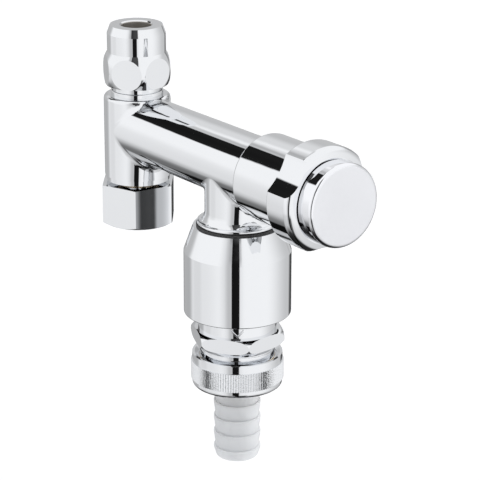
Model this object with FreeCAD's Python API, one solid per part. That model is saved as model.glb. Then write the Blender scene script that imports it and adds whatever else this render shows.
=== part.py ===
"""Washing machine tap with a swivel inlet nut, a pipe outlet on top and a hose outlet below.

Millimetres, +Z up. The origin is on the column axis, on the inlet's sealing plane. The arm runs
towards -Y and carries the knob, and the hose outlet hangs under it on the drop axis.
"""

import FreeCAD
import Part
import math
import os

Vector = FreeCAD.Vector
Placement = FreeCAD.Placement
Rotation = FreeCAD.Rotation

# Pipe threads are plain walls at the pitch radius, set apart by this much on each side
THREAD_GAP = 0.04
THREAD_38_PITCH_R = 7.903
THREAD_34_PITCH_R = 12.64
THREAD_12_PITCH_R = 9.897

# Clearances: pushed-in pieces, running shafts, loose holes, and faces that only clear each other
PUSH_GAP = 0.02
RUN_GAP = 0.05
LOOSE_GAP = 0.25
FACE_GAP = 0.05
SEAL_GAP = 0.01

# Column, with its axis on X = Y = 0
ARM_HEIGHT = 25.0
COLUMN_R = 11.55
COLUMN_DROP = 19.0
COLUMN_RISE = 11.55
COLUMN_TOP_ROUND = 1.4
COLUMN_FOOT_STEP = 0.5
COLUMN_FOOT_STEP_L = 1.8
COLUMN_BORE_R = 4.2
COLUMN_BLEND = 3.0

# Arm and the valve housing at its end, measured from the column axis along the arm
ARM_REACH = 57.6
ARM_R = 11.4
HOUSING_R = 14.41
HOUSING_SETBACK = 15.8
HOUSING_ROUND = 0.8
SEAT_SETBACK = 7.6
SEAT_ORIFICE_R = 5.0
SEAT_RIM_W = 1.6
SEAT_RIM_H = 1.4
CHAMBER_R = 9.0
SEAT_TO_SHOULDER = 33.0
HEAD_THREAD_L = 11.0
COUNTERBORE_R = 12.3

# Neck, its flange and the spigot below it, on the drop axis
NECK_R = 10.95
NECK_BLEND = 3.0
NECK_FLARE_W = 1.2
NECK_FLARE_L = 3.0
DROP_BORE_R = 7.0
FLANGE_R = 13.6
FLANGE_T = 1.9
FLANGE_BEAD = 0.65
HOOD_SEAL_LAP = 0.2
HOOD_SEAL_T = 0.6
FLANGE_DROP = 20.7
SPIGOT_R = 10.5
SPIGOT_L = 10.9
SPIGOT_GROOVE_D = 1.6
SPIGOT_GROOVE_W = 2.3
SPIGOT_GROOVE_RISE = 1.2

# Inlet: flat seal, flanged nipple and swivel nut
WASHER_R = 7.3
WASHER_T = 2.0
NIPPLE_FLANGE_T = 1.5
NIPPLE_R = 5.9
NIPPLE_SOCKET_L = 8.0
NIPPLE_FLANGE_LAP = 1.4
INLET_NUT_ACROSS = 24.0
INLET_NUT_THREAD_L = 8.6
INLET_NUT_MOUTH = 1.0
INLET_NUT_WEB = 1.5
INLET_NUT_TOP_DROP = 0.15
INLET_NUT_RELIEF_R = 8.4
INLET_NUT_TURN = 38.8
NUT_CHAMFER_ANGLE = 30.0

# Pipe outlet on top: stub, olive and compression nut
PIPE_R = 5.05
PIPE_STOP_RISE = 6.4
STUB_L = 14.4
STUB_COLLAR_R = 9.1
STUB_COLLAR_L = 1.65
STUB_COLLAR_ROUND = 0.4
STUB_SHANK_R = 8.33
STUB_SHANK_L = 3.15
STUB_CONE_ANGLE = 30.0
STUB_CONE_R = 6.7
OLIVE_R = 6.5
OLIVE_BAND = 1.6
OLIVE_EDGE = 0.25
PIPE_HOLE_GAP = 0.15
TOP_NUT_GAP = 3.65
TOP_NUT_L = 20.77
TOP_NUT_R = 10.12
TOP_NUT_ACROSS = 21.5
TOP_NUT_BELLY = 1.31
TOP_NUT_HEX_L = 10.8
TOP_NUT_HEX_AT = 5.1
TOP_NUT_MOUTH = 0.6
TOP_NUT_TAPER_L = 2.8
TOP_NUT_TAPER = 1.04
TOP_NUT_TURN = 23.6
TOP_NUT_HOLE_CHAMFER = 0.58

# Headwork: screwed-in head, spindle, sliding disc carrier and its rubber
HEAD_BARREL_L = 17.5
HEAD_GROOVE_D = 1.5
HEAD_GROOVE_W = 2.2
HEAD_GROOVE_SET = 2.2
HEAD_FLANGE_T = 2.0
HEAD_FLANGE_R = 12.1
HEAD_HEX_ACROSS = 19.0
HEAD_HEX_L = 5.5
HEAD_NOSE_R = 7.6
HEAD_NOSE_L = 7.0
KEY_BORE_R = 6.5
KEY_FLATS = 10.8
KEY_GAP = 0.08
KEY_BORE_STOP = 1.0
SPINDLE_R = 4.3
SPINDLE_COLLAR_T = 2.0
SPINDLE_SCREW_R = 3.9
SPINDLE_SCREW_L = 16.5
SPINDLE_GROOVE_D = 1.2
SPINDLE_GROOVE_W = 1.9
SPINDLE_GROOVE_SET = 4.0
CLIP_T = 0.8
CLIP_DEPTH = 1.0
CLIP_R = 5.6
SPLINE_R = 3.8
SPLINE_TEETH = 20
SPLINE_DEPTH = 0.35
SPLINE_L = 4.3
DISC_CUP_R = 8.0
DISC_CUP_L = 5.0
DISC_RUBBER_R = 7.25
DISC_RUBBER_T = 3.0
DISC_RUBBER_PROUD = 1.0
DISC_STUD_R = 2.0
DISC_SHANK_L = 16.5
DISC_BORE_FLOOR = 2.0

# Knob with three hollow finger grips, its screw and its cap
KNOB_R = 17.4
KNOB_REAR_GAP = 0.3
KNOB_BODY_L = 8.45
KNOB_ROUND = 0.6
KNOB_BEAD = 2.5
KNOB_FRONT_ANGLE = 12.0
KNOB_SCOOP_R = 20.0
KNOB_SCOOP_ANGLE = 44.6
KNOB_SCOOP_TURN = 34.5
KNOB_SCOOP_COUNT = 3
KNOB_SHELL_T = 4.8
KNOB_RIM_W = 3.35
KNOB_CAVITY_L = 5.8
KNOB_PLATE_T = 4.3
KNOB_HUB_R = 6.2
KNOB_HUB_GAP = 0.3
KNOB_POCKET_R = 9.2
KNOB_POCKET_D = 1.95
CAP_L = 7.54
CAP_GAP = 0.34
CAP_WALL = 1.5
CAP_ROUND = 1.3
CAP_SPIGOT_WALL = 1.3
CAP_SPIGOT_GAP = 0.1
SCREW_R = 2.0
SCREW_L = 9.0
SCREW_HEAD_R = 3.5
SCREW_HEAD_T = 2.0
SCREW_SOCKET_R = 1.5
SCREW_SOCKET_D = 1.2

# Air hood round the backflow preventer
HOOD_R = 18.0
HOOD_TOP_R = 14.85
HOOD_CONE_L = 8.8
HOOD_L = 30.5
HOOD_WALL = 1.2
HOOD_PLATE_T = 1.5
HOOD_ROUND = 0.4

# Backflow preventer: body, check cartridge, poppet and vent
COLLAR_R = 13.3
COLLAR_SHOWN = 5.6
OUTLET_HEX_ACROSS = 28.5
OUTLET_HEX_L = 4.9
OUTLET_HEX_TURN = 23.7
OUTLET_THREAD_L = 9.7
OUTLET_RELIEF_L = 1.0
OUTLET_RELIEF_D = 0.7
VENT_BORE_R = 10.0
CARTRIDGE_R = 9.5
CARTRIDGE_L = 11.4
CARTRIDGE_TOP = 2.0
CARTRIDGE_WALL = 1.25
CARTRIDGE_PORT_R = 6.0
CARTRIDGE_FOOT = 1.8
CARTRIDGE_ARM_COUNT = 3
CARTRIDGE_ARM_W = 2.0
CARTRIDGE_HUB_R = 3.2
LIP_R = 8.3
LIP_T = 1.2
POPPET_R = 7.2
POPPET_T = 1.2
POPPET_NOSE_R = 5.0
POPPET_NOSE_L = 0.9
POPPET_SEAL_W = 1.8
POPPET_SEAL_T = 1.0
POPPET_STEM_R = 1.5
POPPET_STEM_L = 7.2
SPRING_COIL_R = 2.5
SPRING_WIRE_R = 0.25
SPRING_TURN_COUNT = 4
SPRING_END_GAP = 0.02
VENT_PORT_COUNT = 6
VENT_PORT_R = 1.3
VENT_PORT_DROP = 3.1
MEMBRANE_T = 0.85
MEMBRANE_L = 6.4
CAGE_FOOT_L = 3.0
CAGE_WALL = 0.9
CAGE_SLOT_W = 3.0

# Hose outlet: flat seal, barbed tail and knurled nut
HOSE_SEAL_R = 12.3
HOSE_SEAL_HOLE_R = 8.0
HOSE_SEAL_T = 2.5
TAIL_FLANGE_T = 1.7
TAIL_BORE_R = 5.0
TAIL_ROOT_R = 7.35
BARB_R = 8.0
BARB_COUNT = 4
BARB_PITCH = 5.55
BARB_LAND = 0.8
TAIL_NECK_L = 6.15
TAIL_NOSE_L = 3.9
TAIL_NOSE_ROUND = 1.1
HOSE_NUT_LAP = 5.7
HOSE_NUT_WEB = 1.65
HOSE_NUT_BAND_R = 15.25
HOSE_NUT_TOP_BAND = 2.75
HOSE_NUT_MOUTH_R = 14.4
HOSE_NUT_MOUTH_D = 1.2
HOSE_NUT_ROUND = 1.3
KNURL_R = 15.7
KNURL_L = 6.4
KNURL_DEPTH = 0.35
KNURL_TEETH = 110

# Levels worked out from the sizes above, on the column
COLUMN_TOP = ARM_HEIGHT + COLUMN_RISE
COLUMN_FOOT = ARM_HEIGHT - COLUMN_DROP
NIPPLE_TOP = WASHER_T + NIPPLE_FLANGE_T
STUB_TOP = COLUMN_TOP + STUB_L
PIPE_STOP = COLUMN_TOP + PIPE_STOP_RISE
TOP_NUT_BASE = COLUMN_TOP + TOP_NUT_GAP
TOP_NUT_TOP = TOP_NUT_BASE + TOP_NUT_L

# Radii that follow the knob's
KNOB_CAVITY_R = KNOB_R - KNOB_SHELL_T
KNOB_MOUTH_R = KNOB_R - KNOB_RIM_W
CAP_R = KNOB_MOUTH_R - CAP_GAP

# Stations along the arm
SEAT_AT = ARM_REACH - SEAT_SETBACK
HOUSING_AT = ARM_REACH + HOUSING_SETBACK
SHOULDER_AT = SEAT_AT + SEAT_TO_SHOULDER
HEAD_THREAD_AT = SHOULDER_AT - HEAD_THREAD_L
HEAD_TIP_AT = SHOULDER_AT - HEAD_BARREL_L
HEAD_END_AT = SHOULDER_AT + HEAD_FLANGE_T + HEAD_HEX_L + HEAD_NOSE_L
SPLINE_AT = HEAD_END_AT + FACE_GAP + CLIP_T
SPLINE_END_AT = SPLINE_AT + SPLINE_L
HUB_AT = SPLINE_AT + KNOB_HUB_GAP
HUB_END_AT = SPLINE_END_AT + KNOB_HUB_GAP
PLATE_END_AT = HUB_END_AT + KNOB_POCKET_D
KNOB_AT = PLATE_END_AT - KNOB_PLATE_T - KNOB_CAVITY_L
MOUTH_AT = KNOB_AT - KNOB_REAR_GAP
KEY_BORE_END = SHOULDER_AT - KEY_BORE_STOP
COLLAR_END_AT = KEY_BORE_END - FACE_GAP
COLLAR_AT = COLLAR_END_AT - SPINDLE_COLLAR_T

# Levels on the drop axis, from the neck flange down to the tip of the hose tail
FLANGE_FOOT = ARM_HEIGHT - FLANGE_DROP
SPIGOT_FOOT = FLANGE_FOOT - SPIGOT_L
HOOD_FOOT = FLANGE_FOOT - HOOD_L
BODY_TOP = FLANGE_FOOT - HOOD_PLATE_T
CARTRIDGE_TOP_AT = SPIGOT_FOOT - FACE_GAP
CARTRIDGE_FOOT_AT = CARTRIDGE_TOP_AT - CARTRIDGE_L
LIP_FOOT = CARTRIDGE_FOOT_AT - LIP_T
COLLAR_FOOT = HOOD_FOOT - COLLAR_SHOWN
OUTLET_HEX_FOOT = COLLAR_FOOT - OUTLET_HEX_L
OUTLET_FOOT = OUTLET_HEX_FOOT - OUTLET_THREAD_L
MEMBRANE_FOOT = LIP_FOOT - FACE_GAP - MEMBRANE_L
POPPET_SEAT = CARTRIDGE_TOP_AT - CARTRIDGE_TOP
POPPET_FOOT = POPPET_SEAT - POPPET_SEAL_T - POPPET_T
SPIDER_TOP = CARTRIDGE_FOOT_AT + CARTRIDGE_FOOT
TAIL_FLANGE_TOP = OUTLET_FOOT - HOSE_SEAL_T
TAIL_FLANGE_FOOT = TAIL_FLANGE_TOP - TAIL_FLANGE_T
HOSE_NUT_TOP = OUTLET_FOOT + HOSE_NUT_LAP
HOSE_NUT_FOOT = TAIL_FLANGE_FOOT - FACE_GAP - HOSE_NUT_WEB
BARB_TOP = HOSE_NUT_FOOT - TAIL_NECK_L
TAIL_TIP = BARB_TOP - (BARB_COUNT - 1) * BARB_PITCH - TAIL_NOSE_L

COLUMN_AXIS = Placement()
DROP_AXIS = Placement(Vector(0, -ARM_REACH, 0), Rotation())
ARM_AXIS = Placement(Vector(0, 0, ARM_HEIGHT), Rotation(Vector(1, 0, 0), 90))


def turned(axis, *steps):
    """Solid turned about an axis from (radius, height) steps; a pair of points is an arc."""
    start = Vector(steps[0][0], 0, steps[0][1])
    here = start
    edges = []
    for step in steps[1:]:
        if isinstance(step[0], tuple):
            middle, end = (Vector(radius, 0, height) for radius, height in step)
            edges.append(Part.Arc(here, middle, end).toShape())
        else:
            end = Vector(step[0], 0, step[1])
            edges.append(Part.makeLine(here, end))
        here = end
    edges.append(Part.makeLine(here, start))
    solid = Part.Face(Part.Wire(edges)).revolve(Vector(), Vector(0, 0, 1), 360)
    return placed(solid, axis)


def placed(shape, axis):
    """The shape moved from the local Z axis onto an axis of the tap."""
    moved = shape.copy()
    moved.Placement = axis.multiply(shape.Placement)
    return moved


def ring(axis, inner, outer, low, high):
    """Plain ring between two radii and two heights."""
    return turned(axis, (inner, low), (outer, low), (outer, high), (inner, high))


def rod(axis, radius, low, high):
    """Plain cylinder between two heights."""
    return turned(axis, (0, low), (radius, low), (radius, high), (0, high))


def polygon(axis, corners, low, high):
    """Prism between two heights over (x, y) corners."""
    points = [Vector(x, y, low) for x, y in corners]
    face = Part.Face(Part.makePolygon(points + points[:1]))
    return placed(face.extrude(Vector(0, 0, high - low)), axis)


def hexagon(axis, across, turn, low, high):
    """Hexagonal bar; one corner is turned by an angle from -Y towards -X."""
    radius = across / 2 / math.cos(math.radians(30))
    corners = []
    for index in range(6):
        angle = math.radians(-90 - turn + 60 * index)
        corners.append((radius * math.cos(angle), radius * math.sin(angle)))
    return polygon(axis, corners, low, high)


def toothed(axis, teeth, outer, depth, low, high):
    """Bar with straight triangular teeth all round."""
    corners = []
    for index in range(2 * teeth):
        radius = outer - depth * (index % 2)
        angle = math.pi * index / teeth
        corners.append((radius * math.cos(angle), radius * math.sin(angle)))
    return polygon(axis, corners, low, high)


def seal_ring(axis, inner, outer, height):
    """O-ring that fills the space between a groove floor and a wall."""
    section = (outer - inner) / 2 - SEAL_GAP
    torus = Part.makeTorus((inner + outer) / 2, section, Vector(0, 0, height))
    return placed(torus, axis)


def around(shape, axis, count):
    """Copies of a shape spaced evenly about an axis, the first included."""
    centre = axis.Base
    direction = axis.Rotation.multVec(Vector(0, 0, 1))
    copies = []
    for index in range(count):
        copy = shape.copy()
        copy.rotate(centre, direction, 360 * index / count)
        copies.append(copy)
    return copies


def chamfer_drop(across):
    """Height that a nut's corner chamfer takes at its corners."""
    corner = across / 2 / math.cos(math.radians(30))
    return (corner - across / 2) * math.tan(math.radians(NUT_CHAMFER_ANGLE))


def barrel(axis, across, low, high):
    """Turned blank that leaves round facets on a hexagon between two heights."""
    corner = across / 2 / math.cos(math.radians(30))
    middle = (low + high) / 2
    return turned(axis, (0, low), (across / 2, low), ((corner, middle), (across / 2, high)), (0, high))


def inlet_washer():
    """Flat seal between the nipple and the supply thread."""
    return ring(COLUMN_AXIS, COLUMN_BORE_R, WASHER_R, 0, WASHER_T)


def inlet_tail():
    """Flanged nipple pushed into the column's foot; its flange carries the swivel nut."""
    return turned(
        COLUMN_AXIS,
        (COLUMN_BORE_R, WASHER_T),
        (NIPPLE_R + NIPPLE_FLANGE_LAP, WASHER_T),
        (NIPPLE_R + NIPPLE_FLANGE_LAP, NIPPLE_TOP),
        (NIPPLE_R, NIPPLE_TOP),
        (NIPPLE_R, COLUMN_FOOT + NIPPLE_SOCKET_L),
        (COLUMN_BORE_R, COLUMN_FOOT + NIPPLE_SOCKET_L),
    )


def inlet_union_nut():
    """Hexagonal swivel nut with a web over the nipple flange."""
    web_foot = NIPPLE_TOP + FACE_GAP
    top = web_foot + INLET_NUT_WEB
    foot = -INLET_NUT_THREAD_L - INLET_NUT_MOUTH
    flat = INLET_NUT_ACROSS / 2
    corner = flat / math.cos(math.radians(30))
    drop = chamfer_drop(INLET_NUT_ACROSS)
    wall = THREAD_38_PITCH_R + THREAD_GAP
    blank = turned(
        COLUMN_AXIS,
        (NIPPLE_R + LOOSE_GAP, top),
        (flat, top),
        (corner, top - INLET_NUT_TOP_DROP),
        (corner, foot + drop),
        (flat, foot),
        (wall + INLET_NUT_MOUTH, foot),
        (wall, foot + INLET_NUT_MOUTH),
        (wall, 0),
        (INLET_NUT_RELIEF_R, 0),
        (INLET_NUT_RELIEF_R, web_foot),
        (NIPPLE_R + LOOSE_GAP, web_foot),
    )
    return blank.common(hexagon(COLUMN_AXIS, INLET_NUT_ACROSS, INLET_NUT_TURN, foot, top))


def column_solid():
    """Column with a stepped foot, a rounded top edge, and a collar and the threaded stub on top."""
    stub = THREAD_38_PITCH_R - THREAD_GAP
    shoulder = COLUMN_TOP - COLUMN_TOP_ROUND
    slant = COLUMN_TOP_ROUND * math.sqrt(0.5)
    step_top = COLUMN_FOOT + COLUMN_FOOT_STEP_L
    collar_top = COLUMN_TOP + STUB_COLLAR_L
    edge = STUB_COLLAR_ROUND * (1 - math.sqrt(0.5))
    return turned(
        COLUMN_AXIS,
        (0, COLUMN_FOOT),
        (COLUMN_R - COLUMN_FOOT_STEP, COLUMN_FOOT),
        (COLUMN_R - COLUMN_FOOT_STEP, step_top),
        (COLUMN_R, step_top),
        (COLUMN_R, shoulder),
        (
            (COLUMN_R - COLUMN_TOP_ROUND + slant, shoulder + slant),
            (COLUMN_R - COLUMN_TOP_ROUND, COLUMN_TOP),
        ),
        (STUB_COLLAR_R, COLUMN_TOP),
        (STUB_COLLAR_R, collar_top - STUB_COLLAR_ROUND),
        (
            (STUB_COLLAR_R - edge, collar_top - edge),
            (STUB_COLLAR_R - STUB_COLLAR_ROUND, collar_top),
        ),
        (STUB_SHANK_R, collar_top),
        (STUB_SHANK_R, COLUMN_TOP + STUB_SHANK_L),
        (stub, COLUMN_TOP + STUB_SHANK_L),
        (stub, STUB_TOP),
        (0, STUB_TOP),
    )


def column_bores():
    """Waterway, nipple socket, pipe socket and the cone that the olive seats in."""
    cone = (STUB_CONE_R - PIPE_R) / math.tan(math.radians(STUB_CONE_ANGLE))
    socket = NIPPLE_R + PUSH_GAP
    return turned(
        COLUMN_AXIS,
        (0, COLUMN_FOOT),
        (socket, COLUMN_FOOT),
        (socket, COLUMN_FOOT + NIPPLE_SOCKET_L),
        (COLUMN_BORE_R, COLUMN_FOOT + NIPPLE_SOCKET_L),
        (COLUMN_BORE_R, PIPE_STOP),
        (PIPE_R, PIPE_STOP),
        (PIPE_R, STUB_TOP - cone),
        (STUB_CONE_R, STUB_TOP),
        (0, STUB_TOP),
    )


def housing_solid():
    """Wider end of the arm that takes the headwork."""
    slant = HOUSING_ROUND * (1 - math.sqrt(0.5))
    return turned(
        ARM_AXIS,
        (0, HOUSING_AT),
        (HOUSING_R - HOUSING_ROUND, HOUSING_AT),
        ((HOUSING_R - slant, HOUSING_AT + slant), (HOUSING_R, HOUSING_AT + HOUSING_ROUND)),
        (HOUSING_R, MOUTH_AT),
        (0, MOUTH_AT),
    )


def arm_bores():
    """Bore from the column, the raised seat, the valve chamber and the headwork's seats."""
    floor = SEAT_AT - SEAT_RIM_H
    rim = SEAT_ORIFICE_R + SEAT_RIM_W
    return turned(
        ARM_AXIS,
        (0, 0),
        (SEAT_ORIFICE_R, 0),
        (SEAT_ORIFICE_R, SEAT_AT),
        (rim, SEAT_AT),
        (rim, floor),
        (CHAMBER_R, floor),
        (CHAMBER_R, HEAD_THREAD_AT),
        (THREAD_12_PITCH_R + THREAD_GAP, HEAD_THREAD_AT),
        (THREAD_12_PITCH_R + THREAD_GAP, SHOULDER_AT),
        (COUNTERBORE_R, SHOULDER_AT),
        (COUNTERBORE_R, MOUTH_AT),
        (0, MOUTH_AT),
    )


def neck_solid():
    """Neck that flares into the flange, with the grooved spigot below it."""
    flange_top = FLANGE_FOOT + FLANGE_T
    flare_r = (NECK_FLARE_W ** 2 + NECK_FLARE_L ** 2) / (2 * NECK_FLARE_W)
    half = math.asin(NECK_FLARE_L / flare_r) / 2
    flare_middle = flange_top + NECK_FLARE_L - flare_r * math.sin(half)
    flange_foot = FLANGE_FOOT + HOOD_SEAL_T
    groove_foot = SPIGOT_FOOT + SPIGOT_GROOVE_RISE
    groove_floor = SPIGOT_R - SPIGOT_GROOVE_D
    return turned(
        DROP_AXIS,
        (0, ARM_HEIGHT),
        (NECK_R, ARM_HEIGHT),
        (NECK_R, flange_top + NECK_FLARE_L),
        (
            (NECK_R + flare_r * (1 - math.cos(half)), flare_middle),
            (NECK_R + NECK_FLARE_W, flange_top),
        ),
        (FLANGE_R - FLANGE_BEAD, flange_top),
        ((FLANGE_R, (flange_foot + flange_top) / 2), (FLANGE_R - FLANGE_BEAD, flange_foot)),
        (SPIGOT_R, flange_foot),
        (SPIGOT_R, groove_foot + SPIGOT_GROOVE_W),
        (groove_floor, groove_foot + SPIGOT_GROOVE_W),
        (groove_floor, groove_foot),
        (SPIGOT_R, groove_foot),
        (SPIGOT_R, SPIGOT_FOOT),
        (0, SPIGOT_FOOT),
    )


def blended(casting, radius, nearest, furthest):
    """Casting with the curved seams between two stations along the arm rounded out."""
    seams = []
    for edge in casting.Edges:
        station = -edge.BoundBox.Center.y
        straight = isinstance(edge.Curve, (Part.Line, Part.Circle))
        if nearest < station < furthest and not straight:
            seams.append(edge)
    return casting.makeFillet(radius, seams).Solids[0]


def valve_body():
    """Casting: column, arm, housing and neck in one piece, bored through."""
    arm = rod(ARM_AXIS, ARM_R, 0, HOUSING_AT + HOUSING_ROUND)
    casting = column_solid().fuse([arm, housing_solid(), neck_solid()]).removeSplitter()
    casting = blended(casting, COLUMN_BLEND, 0, ARM_REACH / 2)
    casting = blended(casting, NECK_BLEND, ARM_REACH / 2, HOUSING_AT)
    outlet = rod(DROP_AXIS, DROP_BORE_R, SPIGOT_FOOT, ARM_HEIGHT)
    return casting.cut([column_bores(), arm_bores(), outlet])


def compression_olive():
    """Soft double cone that the nut squeezes onto the pipe."""
    slope = math.tan(math.radians(STUB_CONE_ANGLE))
    band_foot = STUB_TOP - (STUB_CONE_R - OLIVE_R - FACE_GAP) / slope
    run = (OLIVE_R - PIPE_R - OLIVE_EDGE) / slope
    return turned(
        COLUMN_AXIS,
        (PIPE_R, band_foot - run),
        (PIPE_R + OLIVE_EDGE, band_foot - run),
        (OLIVE_R, band_foot),
        (OLIVE_R, band_foot + OLIVE_BAND),
        (PIPE_R + OLIVE_EDGE, band_foot + OLIVE_BAND + run),
        (PIPE_R, band_foot + OLIVE_BAND + run),
    )


def olive_top():
    """Height of the olive's upper edge."""
    slope = math.tan(math.radians(STUB_CONE_ANGLE))
    band_foot = STUB_TOP - (STUB_CONE_R - OLIVE_R - FACE_GAP) / slope
    return band_foot + OLIVE_BAND + (OLIVE_R - PIPE_R - OLIVE_EDGE) / slope


def compression_nut():
    """Nut with a round upper part over a hexagon with round facets."""
    flat = TOP_NUT_ACROSS / 2
    crest = flat + TOP_NUT_BELLY
    belly = ((TOP_NUT_HEX_L / 2) ** 2 + TOP_NUT_BELLY ** 2) / (2 * TOP_NUT_BELLY)
    middle = TOP_NUT_BASE + TOP_NUT_HEX_AT
    foot_r = crest - belly + math.sqrt(belly ** 2 - TOP_NUT_HEX_AT ** 2)
    shoulder = middle + math.sqrt(belly ** 2 - (belly - crest + TOP_NUT_R) ** 2)
    wall = THREAD_38_PITCH_R + THREAD_GAP
    hole = PIPE_R + PIPE_HOLE_GAP
    cone_top = olive_top() + OLIVE_EDGE + FACE_GAP - PIPE_HOLE_GAP
    blank = turned(
        COLUMN_AXIS,
        (wall + TOP_NUT_MOUTH, TOP_NUT_BASE),
        (foot_r, TOP_NUT_BASE),
        ((crest, middle), (TOP_NUT_R, shoulder)),
        (TOP_NUT_R, TOP_NUT_TOP - TOP_NUT_TAPER_L),
        (TOP_NUT_R - TOP_NUT_TAPER, TOP_NUT_TOP),
        (hole + TOP_NUT_HOLE_CHAMFER, TOP_NUT_TOP),
        (hole, TOP_NUT_TOP - TOP_NUT_HOLE_CHAMFER),
        (hole, cone_top),
        (wall, cone_top - (wall - hole)),
        (wall, TOP_NUT_BASE + TOP_NUT_MOUTH),
    )
    bar = hexagon(COLUMN_AXIS, TOP_NUT_ACROSS, TOP_NUT_TURN, TOP_NUT_BASE, TOP_NUT_TOP)
    return blank.common(bar)


def key_bar(radius, flats, low, high):
    """Round bar with two flats, which keeps the disc carrier from turning."""
    box = Part.makeBox(flats, 2 * radius, high - low, Vector(-flats / 2, -radius, low))
    return placed(box, ARM_AXIS).common(rod(ARM_AXIS, radius, low, high))


def head_part():
    """Screwed-in headwork: grooved barrel, thread, flange, hexagon and spindle nose."""
    barrel_r = CHAMBER_R - FACE_GAP
    floor = barrel_r - HEAD_GROOVE_D
    groove = HEAD_TIP_AT + HEAD_GROOVE_SET
    thread = THREAD_12_PITCH_R - THREAD_GAP
    flange_end = SHOULDER_AT + HEAD_FLANGE_T
    hex_end = flange_end + HEAD_HEX_L
    core = turned(
        ARM_AXIS,
        (0, HEAD_TIP_AT),
        (barrel_r, HEAD_TIP_AT),
        (barrel_r, groove),
        (floor, groove),
        (floor, groove + HEAD_GROOVE_W),
        (barrel_r, groove + HEAD_GROOVE_W),
        (barrel_r, HEAD_THREAD_AT + LOOSE_GAP),
        (thread, HEAD_THREAD_AT + LOOSE_GAP),
        (thread, SHOULDER_AT),
        (HEAD_FLANGE_R, SHOULDER_AT),
        (HEAD_FLANGE_R, flange_end),
        (HEAD_NOSE_R, flange_end),
        (HEAD_NOSE_R, HEAD_END_AT),
        (0, HEAD_END_AT),
    )
    grip = hexagon(ARM_AXIS, HEAD_HEX_ACROSS, 0, flange_end, hex_end)
    key_bore = key_bar(KEY_BORE_R, KEY_FLATS, HEAD_TIP_AT, KEY_BORE_END)
    spindle_bore = rod(ARM_AXIS, SPINDLE_R, KEY_BORE_END, HEAD_END_AT)
    return core.fuse(grip).removeSplitter().cut([key_bore, spindle_bore])


def head_oring():
    """Seal between the headwork's barrel and the valve chamber."""
    height = HEAD_TIP_AT + HEAD_GROOVE_SET + HEAD_GROOVE_W / 2
    return seal_ring(ARM_AXIS, CHAMBER_R - FACE_GAP - HEAD_GROOVE_D, CHAMBER_R, height)


def spindle():
    """Rising-disc spindle: inner screw, thrust collar, sealed journal, clip groove and spline."""
    journal = SPINDLE_R - RUN_GAP
    groove = KEY_BORE_END + SPINDLE_GROOVE_SET
    clip = HEAD_END_AT + FACE_GAP
    collar = KEY_FLATS / 2 - KEY_GAP
    shaft = turned(
        ARM_AXIS,
        (0, COLLAR_AT - SPINDLE_SCREW_L),
        (SPINDLE_SCREW_R, COLLAR_AT - SPINDLE_SCREW_L),
        (SPINDLE_SCREW_R, COLLAR_AT),
        (collar, COLLAR_AT),
        (collar, COLLAR_END_AT),
        (journal, COLLAR_END_AT),
        (journal, groove),
        (journal - SPINDLE_GROOVE_D, groove),
        (journal - SPINDLE_GROOVE_D, groove + SPINDLE_GROOVE_W),
        (journal, groove + SPINDLE_GROOVE_W),
        (journal, clip),
        (journal - CLIP_DEPTH, clip),
        (journal - CLIP_DEPTH, SPLINE_AT),
        (0, SPLINE_AT),
    )
    spline = toothed(ARM_AXIS, SPLINE_TEETH, SPLINE_R, SPLINE_DEPTH, SPLINE_AT, SPLINE_END_AT)
    screw_end = HUB_END_AT - SCREW_L - FACE_GAP
    hole = rod(ARM_AXIS, SCREW_R + PUSH_GAP, screw_end, SPLINE_END_AT)
    return shaft.fuse(spline).cut(hole)


def spindle_oring():
    """Seal that turns with the spindle in the headwork's bore."""
    height = KEY_BORE_END + SPINDLE_GROOVE_SET + SPINDLE_GROOVE_W / 2
    return seal_ring(ARM_AXIS, SPINDLE_R - RUN_GAP - SPINDLE_GROOVE_D, SPINDLE_R, height)


def spindle_clip():
    """Open spring clip that keeps the spindle in the headwork."""
    inner = SPINDLE_R - RUN_GAP - CLIP_DEPTH + PUSH_GAP
    low = HEAD_END_AT + FACE_GAP
    slot = Part.makeBox(2 * CLIP_R, 2 * inner, CLIP_T, Vector(0, -inner, low))
    return ring(ARM_AXIS, inner, CLIP_R, low, low + CLIP_T).cut(placed(slot, ARM_AXIS))


def disc_carrier():
    """Sliding carrier: rubber cup, stud, and a keyed shank threaded onto the spindle."""
    face = SEAT_AT + DISC_RUBBER_PROUD
    floor = SEAT_AT + DISC_RUBBER_T
    cup_end = face + DISC_CUP_L
    shank_end = cup_end + DISC_SHANK_L
    cup = turned(
        ARM_AXIS,
        (0, face),
        (DISC_STUD_R, face),
        (DISC_STUD_R, floor),
        (DISC_RUBBER_R + PUSH_GAP, floor),
        (DISC_RUBBER_R + PUSH_GAP, face),
        (DISC_CUP_R, face),
        (DISC_CUP_R, cup_end),
        (0, cup_end),
    )
    shank = key_bar(KEY_BORE_R - KEY_GAP, KEY_FLATS - 2 * KEY_GAP, cup_end, shank_end)
    bore = rod(ARM_AXIS, SPINDLE_SCREW_R + RUN_GAP, cup_end + DISC_BORE_FLOOR, shank_end)
    return cup.fuse(shank).cut(bore)


def seat_washer():
    """Rubber disc that closes on the seat."""
    return ring(ARM_AXIS, DISC_STUD_R + PUSH_GAP, DISC_RUBBER_R, SEAT_AT, SEAT_AT + DISC_RUBBER_T)


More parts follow.
